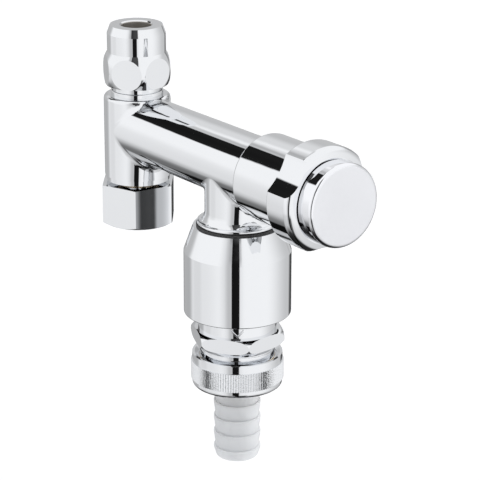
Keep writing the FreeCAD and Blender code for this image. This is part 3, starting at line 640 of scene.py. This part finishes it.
@dataclass(frozen=True)
class SealStock(Finish):
    """Rubber or pressed fibre with a dusty, speckled surface."""

    relief: float = 0.3
    speck: Colour = (0.08, 0.08, 0.08)

    CLOUD: ClassVar[Noise] = Noise(2400.0, 5.0)
    SCUFF: ClassVar[Noise] = Noise(500.0)
    SCUFF_SHARES: ClassVar[tuple[float, float]] = (0.85, 1.0)
    GRAIN: ClassVar[Noise] = Noise(2400.0, 5.0)
    DEPTH: ClassVar[float] = 0.00002

    def second_colour(self) -> Colour:
        """The colour of the specks."""
        return self.speck


CHROME = (0.86, 0.87, 0.885)
BARE_BRASS = (0.62, 0.45, 0.21)
POLISH = 0.03
CAST_CHROME = PolishedChrome(
    "cast_chrome", CHROME, POLISH, relief=0.5, bore_xy=COLUMN_XY, bore_radius=0.0071
)
SHELL_CHROME = PolishedChrome("shell_chrome", CHROME, POLISH)
PIPE_NUT_CHROME = PolishedChrome(
    "pipe_nut_chrome",
    CHROME,
    POLISH,
    bore_xy=COLUMN_XY,
    bore_radius=0.0054,
    bore_rough=0.5,
    bore_colour=(0.50, 0.48, 0.45),
)
INLET_NUT_CHROME = PolishedChrome(
    "inlet_nut_chrome", CHROME, POLISH, bore_xy=COLUMN_XY, bore_radius=0.0080, bore_top=0.003
)
OUTLET_CHROME = PolishedChrome(
    "outlet_chrome", CHROME, POLISH, bore_xy=DROP_XY, bore_radius=0.0102
)
ARROW_CHROME = PolishedChrome("arrow_chrome", CHROME, 0.26, relief=0.3)
HOSE_NUT_CHROME = RolledChrome(
    "hose_nut_chrome", CHROME, 0.045, bore_xy=DROP_XY, bore_radius=0.0128
)
TAIL_CHROME = PolishedChrome(
    "inlet_tail_chrome", CHROME, 0.05, bore_xy=COLUMN_XY, bore_radius=0.0050
)
CAP_SATIN = SatinPlate("cap_satin", (0.92, 0.925, 0.95), 0.34)
BRASS = TurnedMetal("turned_brass", BARE_BRASS, 0.3)
ARM_BRASS = TurnedMetal("turned_brass_arm", BARE_BRASS, 0.3, lines=(40.0, 6000.0, 40.0))
STEEL = TurnedMetal("drawn_steel", (0.58, 0.59, 0.61), 0.28)
WHITE_PLASTIC = MouldedPlastic("moulded_white", (0.69, 0.70, 0.715), 0.42, glow=0.9)
GREY_PLASTIC = MouldedPlastic("moulded_grey", (0.12, 0.13, 0.15), 0.45)
RUBBER = SealStock("black_rubber", (0.018, 0.018, 0.019), 0.65)
FIBRE = SealStock("red_fibre", (0.16, 0.03, 0.02), 0.9, speck=(0.24, 0.08, 0.05))


# --------------------------------------------------------------------------- threads


class ThreadTree:
    """The Geometry Nodes tree that winds a thread's ridge round the Z axis."""

    NAME = "thread_ridge"
    FLOATS = ("Radius", "Pitch", "Turns", "Depth", "Foot Width", "Crest Width", "Side", "Run Out")
    # The ridge's size at its very ends, and how deep its foot is sunk, as shares of the ridge
    END_SHARE = 0.05
    SUNK_SHARE = 0.15

    def __init__(self) -> None:
        """Builds the tree."""
        self.tree = bpy.data.node_groups.new(self.NAME, "GeometryNodeTree")
        face = self.tree.interface
        for name in self.FLOATS:
            face.new_socket(name, in_out="INPUT", socket_type="NodeSocketFloat")
        face.new_socket("Steps", in_out="INPUT", socket_type="NodeSocketInt")
        face.new_socket("Material", in_out="INPUT", socket_type="NodeSocketMaterial")
        face.new_socket("Geometry", in_out="OUTPUT", socket_type="NodeSocketGeometry")
        self.sketch = Sketch(self.tree)
        self.inputs = self.sketch.node("NodeGroupInput").outputs
        self.sweep()

    def sweep(self) -> None:
        """Sweeps the ridge's outline along a helix and ends the tree."""
        turns, radius = self.inputs["Turns"], self.inputs["Radius"]
        height = self.sketch.math("MULTIPLY", turns, self.inputs["Pitch"])
        helix = self.sketch.node(
            "GeometryNodeCurveSpiral",
            {
                "Resolution": self.inputs["Steps"],
                "Rotations": turns,
                "Start Radius": radius,
                "End Radius": radius,
                "Height": height,
            },
        )
        upright = self.sketch.node(
            "GeometryNodeSetCurveNormal", {"Curve": helix.outputs[0]}, mode="Z_UP"
        )
        thinned = self.sketch.node(
            "GeometryNodeSetCurveRadius", {"Curve": upright.outputs[0], "Radius": self.run_out()}
        )
        swept = self.sketch.node(
            "GeometryNodeCurveToMesh",
            {"Curve": thinned.outputs[0], "Profile Curve": self.outline(), "Fill Caps": True},
        )
        real = self.sketch.node("GeometryNodeRealizeInstances", {"Geometry": swept.outputs[0]})
        dressed = self.sketch.node(
            "GeometryNodeSetMaterial",
            {"Geometry": real.outputs[0], "Material": self.inputs["Material"]},
        )
        self.sketch.node("NodeGroupOutput", {"Geometry": dressed.outputs[0]})

    def run_out(self) -> Socket:
        """How the ridge thins out at both ends.

        Returns:
            The curve radius along the helix.
        """
        along = self.sketch.node("GeometryNodeSplineParameter").outputs["Factor"]
        back = self.sketch.math("SUBTRACT", 1.0, along)
        near = self.sketch.math("MINIMUM", along, back)
        return self.sketch.spread(near, 0.0, self.inputs["Run Out"], self.END_SHARE)

    def outline(self) -> Socket:
        """The ridge's four-cornered section, its foot sunk a little into the wall.

        Returns:
            The profile curve.
        """
        side = self.inputs["Side"]
        crest = self.sketch.math("MULTIPLY", self.inputs["Depth"], side)
        sunk = self.sketch.math("MULTIPLY", crest, -self.SUNK_SHARE)
        foot_half = self.sketch.math("MULTIPLY", self.inputs["Foot Width"], 0.5)
        crest_half = self.sketch.math("MULTIPLY", self.inputs["Crest Width"], 0.5)
        places = (
            (sunk, foot_half, -1.0),
            (crest, crest_half, -1.0),
            (crest, crest_half, 1.0),
            (sunk, foot_half, 1.0),
        )
        points = {}
        for index, (out, half, sign) in enumerate(places):
            level = self.sketch.math("MULTIPLY", half, sign)
            point = self.sketch.node("ShaderNodeCombineXYZ", {"X": out, "Y": level})
            points[f"Point {index + 1}"] = point.outputs[0]
        quad = self.sketch.node("GeometryNodeCurvePrimitiveQuadrilateral", points, mode="POINTS")
        return quad.outputs[0]

    def wind(
        self, name: str, values: dict[str, float], steps: int, finish: Finish
    ) -> bpy.types.Object:
        """Winds one thread and turns it into a plain mesh.

        Args:
            name: the piece's name.
            values: the tree's named sizes.
            steps: points in one turn.
            finish: the thread's finish.

        Returns:
            The thread at the origin, its foot at Z = 0.
        """
        holder = put(name + "_holder", bpy.data.meshes.new(name + "_holder"))
        modifier = holder.modifiers.new("thread", "NODES")
        modifier.node_group = self.tree
        for item in self.tree.interface.items_tree:
            if item.in_out == "INPUT" and item.name in values:
                modifier[item.identifier] = float(values[item.name])
            elif item.name == "Steps":
                modifier[item.identifier] = steps
            elif item.name == "Material":
                modifier[item.identifier] = finish.material()
        graph = bpy.context.evaluated_depsgraph_get()
        mesh = bpy.data.meshes.new_from_object(holder.evaluated_get(graph))
        bpy.data.objects.remove(holder)
        mesh.name = name
        return put(name, mesh)


@dataclass(frozen=True)
class Thread:
    """A pipe thread that stands on a plain wall, in metres.

    Its foot and crest are shares of the pitch wide, and it runs out over a share of a turn.
    """

    name: str
    body: Body
    axis_xy: tuple[float, float]
    wall_radius: float
    depth: float
    pitch: float
    low: float
    high: float
    side: Side
    finish: Finish
    slot: Slot = Slot.CHROME

    FOOT_SHARE: ClassVar[float] = 0.8
    CREST_SHARE: ClassVar[float] = 0.2
    RUN_OUT_TURN: ClassVar[float] = 0.35
    STEPS: ClassVar[int] = 96
    WELD: ClassVar[float] = 1e-7

    def build(self, tree: ThreadTree) -> bpy.types.Object:
        """Winds the thread between its levels and lets it ride on its body.

        Args:
            tree: the thread's Geometry Nodes tree.

        Returns:
            The finished piece.
        """
        foot = self.pitch * self.FOOT_SHARE
        turns = (self.high - self.low - foot) / self.pitch
        values = {
            "Radius": self.wall_radius,
            "Pitch": self.pitch,
            "Turns": turns,
            "Depth": self.depth,
            "Foot Width": foot,
            "Crest Width": self.pitch * self.CREST_SHARE,
            "Side": self.side.value,
            "Run Out": self.RUN_OUT_TURN / turns,
        }
        piece = tree.wind(self.name, values, self.STEPS, self.finish)
        self.clean(piece.data)
        place = Vector((*self.axis_xy, self.low + foot / 2))
        piece.data.transform(Matrix.Translation(place))
        smooth(piece.data)
        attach(piece, self.body.value)
        return piece

    def clean(self, mesh: bpy.types.Mesh) -> None:
        """Welds the ridge's seams and turns its faces outwards.

        Args:
            mesh: the wound thread's mesh.
        """
        shape = bmesh.new()
        shape.from_mesh(mesh)
        bmesh.ops.remove_doubles(shape, verts=shape.verts, dist=self.WELD)
        bmesh.ops.recalc_face_normals(shape, faces=shape.faces)
        shape.to_mesh(mesh)
        shape.free()


# --------------------------------------------------------------------------- sub-assemblies


@dataclass
class SubAssembly:
    """A named group of the tap's nodes with their finishes and its own added pieces."""

    title: str
    finishes: dict[str, Finish]
    threads: list[Thread] = field(default_factory=list)

    def dress(self, nodes: dict[str, bpy.types.Object]) -> None:
        """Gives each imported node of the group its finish.

        Args:
            nodes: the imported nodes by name.
        """
        for name, finish in self.finishes.items():
            mesh = nodes[name].data
            mesh.materials.clear()
            mesh.materials.append(finish.material())
            LOG.info("%s: %s has finish %s", self.title, name, finish.name)

    def build(self, tree: ThreadTree) -> list[bpy.types.Object]:
        """Makes the group's own pieces.

        Args:
            tree: the thread's Geometry Nodes tree.

        Returns:
            The pieces.
        """
        made = [thread.build(tree) for thread in self.threads]
        for piece in made:
            LOG.info("%s: made %s with %d faces", self.title, piece.name, len(piece.data.polygons))
        return made


@dataclass(frozen=True)
class FlowArrow:
    """A raised V on the collar that points the way the water runs.

    Sizes and levels are in metres, and turn is the V's place round the collar, in degrees.
    """

    collar_radius: float = 0.0133
    height: float = 0.0004
    half_width: float = 0.0020
    top: float = -0.0292
    tip: float = -0.0313
    stroke: float = 0.00075
    turn: float = -37.3
    inset_share: float = 0.25
    steps: int = 12

    def outline(self, share: float, inner: bool) -> tuple[float, float]:
        """A point on one edge of the V's stroke.

        Args:
            share: how far along, from -1 at the left end over 0 at the tip to 1.
            inner: whether it is the stroke's upper edge.

        Returns:
            The distance round the collar and the level.
        """
        slope = (self.top - self.tip) / self.half_width
        rise = self.stroke * math.sqrt(1.0 + slope * slope) if inner else 0.0
        return share * self.half_width, self.tip + abs(share) * (self.top - self.tip) + rise

    def on_collar(self, along: float, level: float, out: float) -> Vector:
        """Wraps a flat point round the collar.

        Args:
            along: distance round the collar.
            level: height in the row frame.
            out: distance out from the collar.

        Returns:
            The point in the row frame.
        """
        angle = math.radians(self.turn) + along / self.collar_radius
        radius = self.collar_radius + out
        x, y = DROP_XY
        return Vector((x + radius * math.sin(angle), y - radius * math.cos(angle), level))

    def build(self) -> bpy.types.Object:
        """Makes the arrow and lets it ride on the valve.

        Returns:
            The finished piece.
        """
        shape = bmesh.new()
        sections = []
        for index in range(-self.steps, self.steps + 1):
            share = index / self.steps
            low, high = self.outline(share, False), self.outline(share, True)
            inset = self.stroke * self.inset_share
            section = (
                (*low, -self.height),
                (low[0], low[1] + inset, self.height),
                (high[0], high[1] - inset, self.height),
                (*high, -self.height),
            )
            sections.append([shape.verts.new(self.on_collar(*point)) for point in section])
        for first, second in zip(sections, sections[1:]):
            for index, after in ((0, 1), (1, 2), (2, 3), (3, 0)):
                shape.faces.new((first[index], first[after], second[after], second[index]))
        shape.faces.new(sections[0])
        shape.faces.new(reversed(sections[-1]))
        bmesh.ops.recalc_face_normals(shape, faces=shape.faces)
        mesh = bpy.data.meshes.new("flow_arrow")
        shape.to_mesh(mesh)
        shape.free()
        smooth(mesh)
        mesh.materials.append(ARROW_CHROME.material())
        piece = put("flow_arrow", mesh)
        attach(piece, Body.VALVE.value)
        return piece


@dataclass(frozen=True)
class PressedSpring:
    """The check valve's spring, which the poppet presses shorter against the cartridge."""

    name: str = "pressed_spring"
    node: str = "check_spring"
    joint: str = "check_open"
    travel: float = 0.0033

    def build(self, nodes: dict[str, bpy.types.Object]) -> bpy.types.Object:
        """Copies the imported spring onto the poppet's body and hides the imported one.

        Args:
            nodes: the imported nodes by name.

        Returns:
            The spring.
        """
        low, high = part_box(self.node)
        piece = put(self.name, nodes[self.node].data.copy())
        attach(piece, Body.POPPET.value)
        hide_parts(self.node)
        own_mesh(piece)
        return piece


def sub_assemblies() -> list[SubAssembly]:
    """Lists the tap's sub-assemblies from the inlet to the hose outlet.

    Returns:
        The sub-assemblies.
    """
    stub = Thread(
        "stub_thread",
        Body.VALVE,
        COLUMN_XY,
        wall_radius=0.007863,
        depth=0.000467,
        pitch=PITCH_38,
        low=0.0398,
        high=0.0502,
        side=Side.MALE,
        finish=CAST_CHROME,
    )
    inlet = Thread(
        "inlet_nut_thread",
        Body.INLET_NUT,
        COLUMN_XY,
        wall_radius=0.007943,
        depth=0.00040,
        pitch=PITCH_38,
        low=-0.0085,
        high=-0.0004,
        side=Side.FEMALE,
        finish=BRASS,
        slot=Slot.BRASS,
    )
    pipe_nut = Thread(
        "pipe_nut_thread",
        Body.PIPE_NUT,
        COLUMN_XY,
        wall_radius=0.007943,
        depth=0.00032,
        pitch=PITCH_38,
        low=0.0409,
        high=0.0500,
        side=Side.FEMALE,
        finish=BRASS,
        slot=Slot.BRASS,
    )
    outlet = Thread(
        "outlet_thread",
        Body.VALVE,
        DROP_XY,
        wall_radius=0.0126,
        depth=0.00062,
        pitch=PITCH_34,
        low=-0.0462,
        high=-0.0377,
        side=Side.MALE,
        finish=OUTLET_CHROME,
    )
    hose_nut = Thread(
        "hose_nut_thread",
        Body.HOSE_NUT,
        DROP_XY,
        wall_radius=0.01268,
        depth=0.00045,
        pitch=PITCH_34,
        low=-0.0482,
        high=-0.0421,
        side=Side.FEMALE,
        finish=BRASS,
        slot=Slot.BRASS,
    )
    return [
        SubAssembly("casting", {"valve_body": CAST_CHROME}, [stub]),
        SubAssembly(
            "inlet union",
            {
                "inlet_washer": FIBRE,
                "inlet_tail": TAIL_CHROME,
                "inlet_union_nut": INLET_NUT_CHROME,
            },
            [inlet],
        ),
        SubAssembly(
            "pipe outlet",
            {"compression_olive": BRASS, "compression_nut": PIPE_NUT_CHROME},
            [pipe_nut],
        ),
        SubAssembly(
            "headwork",
            {
                "head_part": ARM_BRASS,
                "head_oring": RUBBER,
                "spindle": ARM_BRASS,
                "spindle_oring": RUBBER,
                "spindle_clip": STEEL,
                "disc_carrier": ARM_BRASS,
                "seat_washer": RUBBER,
            },
        ),
        SubAssembly(
            "handwheel", {"knob": SHELL_CHROME, "knob_screw": STEEL, "knob_cap": CAP_SATIN}
        ),
        SubAssembly(
            "backflow preventer",
            {
                "hood_seal": RUBBER,
                "vent_hood": SHELL_CHROME,
                "spigot_oring": RUBBER,
                "backflow_body": OUTLET_CHROME,
                "check_cartridge": WHITE_PLASTIC,
                "check_poppet": GREY_PLASTIC,
                "poppet_seal": RUBBER,
                "check_spring": STEEL,
                "vent_membrane": RUBBER,
                "vent_cage": GREY_PLASTIC,
            },
            [outlet],
        ),
        SubAssembly(
            "hose outlet",
            {
                "hose_washer": RUBBER,
                "hose_tail": WHITE_PLASTIC,
                "hose_union_nut": HOSE_NUT_CHROME,
            },
            [hose_nut],
        ),
    ]


# --------------------------------------------------------------------------- studio


@dataclass(frozen=True)
class Panel:
    """A dark or grey card round the tap, given by the direction it stands in, in degrees.

    Azimuths run from +Y towards +X, elevations from the horizon up. The level is the share of
    the tent's light that the card leaves. Its upright edges are soft over the width soft, its
    level ones over soft_height.
    """

    azimuth: float
    half_width: float
    elevation: float
    half_height: float
    level: float
    soft: float
    soft_height: float


@dataclass(frozen=True)
class Studio:
    """A white light tent with cards, a pale floor, a side light and the camera.

    The ground's rows are an elevation in degrees and the tent's level there.
    """

    base: float = 1.035
    tent_colour: Colour = (0.985, 0.99, 1.0)
    ground: tuple[tuple[float, float], ...] = (
        (-68.0, 0.02),
        (-59.0, 0.05),
        (-52.0, 0.38),
        (-46.0, 0.66),
        (-36.0, 0.74),
        (-29.0, 0.80),
        (-24.0, 0.98),
        (-20.0, 1.0),
    )
    floor_level: float = -1.2
    floor_half: float = 30.0
    floor_white: float = 0.9
    floor_glow: float = 0.25
    side_place: tuple[float, float, float] = (0.82, -0.58, 0.1)
    side_size: float = 0.5
    side_power: float = 3.5
    panels: tuple[Panel, ...] = (
        Panel(-138.7, 8.4, -15.0, 35.5, 0.012, 1.5, 1.5),
        Panel(-138.0, 14.0, 40.0, 20.0, 0.075, 3.0, 2.0),
        Panel(-122.0, 8.0, 43.0, 17.0, 0.60, 10.0, 6.0),
        Panel(-153.0, 16.0, -64.0, 38.0, 0.16, 10.0, 8.0),
        Panel(-130.0, 18.0, -10.0, 45.0, 0.72, 26.0, 26.0),
        Panel(-126.0, 7.0, -10.0, 40.0, 0.78, 12.0, 12.0),
        Panel(-17.0, 13.3, 42.0, 15.0, 0.012, 2.0, 2.0),
        Panel(0.0, 6.0, 42.0, 14.0, 0.62, 8.0, 8.0),
        Panel(14.0, 14.0, 52.0, 12.0, 0.70, 10.0, 3.0),
        Panel(-35.0, 60.0, -60.0, 48.5, 0.84, 60.0, 33.0),
        Panel(-14.0, 30.0, -64.0, 32.0, 0.50, 26.0, 8.0),
        Panel(-11.0, 14.0, -70.0, 31.6, 0.03, 5.0, 1.4),
        Panel(14.0, 14.0, -62.0, 26.0, 0.50, 10.0, 6.0),
        Panel(2.0, 30.0, -14.0, 35.0, 0.70, 14.0, 18.0),
        Panel(12.0, 34.0, -5.0, 42.5, 0.77, 14.0, 4.0),
        Panel(61.0, 15.0, 9.0, 12.0, 0.66, 10.0, 8.0),
        Panel(-46.0, 12.0, -16.0, 18.0, 0.90, 12.0, 14.0),
        Panel(75.0, 45.0, -22.0, 47.0, 0.60, 70.0, 16.0),
        Panel(48.5, 24.0, -33.0, 19.5, 0.11, 15.0, 5.0),
        Panel(73.0, 4.0, 8.0, 14.0, 0.55, 6.0, 8.0),
    )

    def build(self) -> None:
        """Builds the tent, the floor, the side light and the camera."""
        self.tent()
        self.floor()
        self.side_light()
        Camera().build()
        bpy.context.scene.view_settings.view_transform = "Standard"
        bpy.context.scene.view_settings.look = "None"

    def tent(self) -> None:
        """Builds the world: white to the camera, the tent and its cards to everything else."""
        world = bpy.data.worlds.new("light_tent")
        world.use_nodes = True
        world.node_tree.nodes.clear()
        sketch = Sketch(world.node_tree)
        direction = sketch.node("ShaderNodeTexCoord").outputs["Generated"]
        rise = sketch.math("ARCSINE", sketch.axis(direction, "Z"))
        level = sketch.math("MULTIPLY", self.lower_half(sketch, rise), self.base)
        for panel in self.panels:
            level = sketch.math("MULTIPLY", level, self.card(sketch, panel, direction, rise))
        inputs = {"Color": (*self.tent_colour, 1.0), "Strength": level}
        tent = sketch.node("ShaderNodeBackground", inputs)
        inputs = {"Color": (1.0, 1.0, 1.0, 1.0), "Strength": 1.0}
        plain = sketch.node("ShaderNodeBackground", inputs)
        seen = sketch.node("ShaderNodeLightPath").outputs["Is Camera Ray"]
        inputs = {0: seen, 1: tent.outputs[0], 2: plain.outputs[0]}
        mixed = sketch.node("ShaderNodeMixShader", inputs)
        sketch.node("ShaderNodeOutputWorld", {"Surface": mixed.outputs[0]})
        bpy.context.scene.world = world

    def lower_half(self, sketch: Sketch, rise: Socket) -> Socket:
        """How the tent darkens towards the ground.

        Args:
            sketch: the world's tree.
            rise: the elevation that is looked at, in radians.

        Returns:
            A factor, 1 above the ground and nearly 0 below.
        """
        low, high = self.ground[0][0], self.ground[-1][0]
        share = sketch.spread(rise, math.radians(low), math.radians(high))
        ramp = sketch.node("ShaderNodeValToRGB", {"Fac": share})
        stops = ramp.color_ramp.elements
        for _ in range(len(self.ground) - len(stops)):
            stops.new(1.0)
        for stop, (elevation, level) in zip(stops, self.ground):
            stop.position = (elevation - low) / (high - low)
            stop.color = (level, level, level, 1.0)
        return ramp.outputs["Color"]

    def card(self, sketch: Sketch, panel: Panel, direction: Socket, rise: Socket) -> Socket:
        """How much of the tent's light is left where a card stands.

        Args:
            sketch: the world's tree.
            panel: the card.
            direction: the direction that is looked at.
            rise: that direction's elevation, in radians.

        Returns:
            A factor, 1 away from the card and its level on it.
        """
        inputs = {"Vector": direction, "Angle": math.radians(panel.azimuth)}
        turned = sketch.node("ShaderNodeVectorRotate", inputs, rotation_type="Z_AXIS").outputs[0]
        azimuth = sketch.math("ARCTAN2", sketch.axis(turned, "X"), sketch.axis(turned, "Y"))
        across = sketch.window(azimuth, math.radians(panel.half_width), math.radians(panel.soft))
        above = sketch.math("SUBTRACT", rise, math.radians(panel.elevation))
        upright = sketch.window(
            above, math.radians(panel.half_height), math.radians(panel.soft_height)
        )
        mask = sketch.math("MULTIPLY", across, upright)
        return sketch.math("MULTIPLY_ADD", mask, panel.level - 1.0, 1.0)

    def side_light(self) -> None:
        """Hangs a soft light on the right, which shades what is not mirror-bright."""
        data = bpy.data.lights.new("side_light", "AREA")
        data.shape = "DISK"
        data.size = self.side_size
        data.energy = self.side_power
        light = put("side_light", data)
        place = Vector(self.side_place)
        light.location = place
        light.rotation_euler = (-place).to_track_quat("-Z", "Y").to_euler()
        light.visible_glossy = False
        light.visible_camera = False

    def floor(self) -> None:
        """Lays the pale floor, which the chrome doesn't mirror."""
        half, level = self.floor_half, self.floor_level
        mesh = bpy.data.meshes.new("floor")
        outline = [(-half, -half), (half, -half), (half, half), (-half, half)]
        mesh.from_pydata([(*place, level) for place in outline], [], [(0, 1, 2, 3)])
        ground = put("floor", mesh)
        ground.visible_glossy = False
        made = bpy.data.materials.new("pale_floor")
        made.use_nodes = True
        shader = made.node_tree.nodes["Principled BSDF"]
        white = self.floor_white
        shader.inputs["Base Color"].default_value = (white, white, white, 1.0)
        shader.inputs["Roughness"].default_value = 1.0
        shader.inputs["Emission Color"].default_value = (1.0, 1.0, 1.0, 1.0)
        shader.inputs["Emission Strength"].default_value = self.floor_glow
        mesh.materials.append(made)


@dataclass(frozen=True)
class Camera:
    """The camera, placed as the photograph was taken.

    Its place is in metres, its angles are in radians, and its lens and sensor in millimetres.
    """

    place: tuple[float, float, float] = (-0.42410, -0.61484, 0.24351)
    yaw: float = 0.9191014
    pitch: float = -0.3363335
    roll: float = -0.0024296
    lens: float = 167.437
    sensor: float = 36.0
    near: float = 0.05
    far: float = 60.0

    def build(self) -> None:
        """Builds the camera and makes it the scene's."""
        flat = math.cos(self.pitch)
        ahead = Vector(
            (flat * math.cos(self.yaw), flat * math.sin(self.yaw), math.sin(self.pitch))
        )
        level = ahead.cross(Vector((0.0, 0.0, 1.0))).normalized()
        down = ahead.cross(level)
        right = math.cos(self.roll) * level + math.sin(self.roll) * down
        under = -math.sin(self.roll) * level + math.cos(self.roll) * down
        turn = Matrix((right, -under, -ahead)).transposed()
        data = bpy.data.cameras.new("camera")
        data.sensor_width = self.sensor
        data.lens = self.lens
        data.clip_start = self.near
        data.clip_end = self.far
        camera = put("camera", data)
        camera.matrix_world = Matrix.Translation(self.place) @ turn.to_4x4()
        bpy.context.scene.camera = camera


# --------------------------------------------------------------------------- making


def main() -> None:
    """Loads the frame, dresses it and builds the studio."""
    logging.basicConfig(level=logging.INFO, format="%(name)s: %(message)s")
    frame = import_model()
    Studio().build()
    tree = ThreadTree()
    for group in sub_assemblies():
        group.dress(frame["nodes"])
        group.build(tree)
    arrow = FlowArrow().build()
    LOG.info("collar: made %s with %d faces", arrow.name, len(arrow.data.polygons))
    spring = PressedSpring().build(frame["nodes"])
    LOG.info("check valve: made %s with %d faces", spring.name, len(spring.data.polygons))


if __name__ == "__main__":
    main()
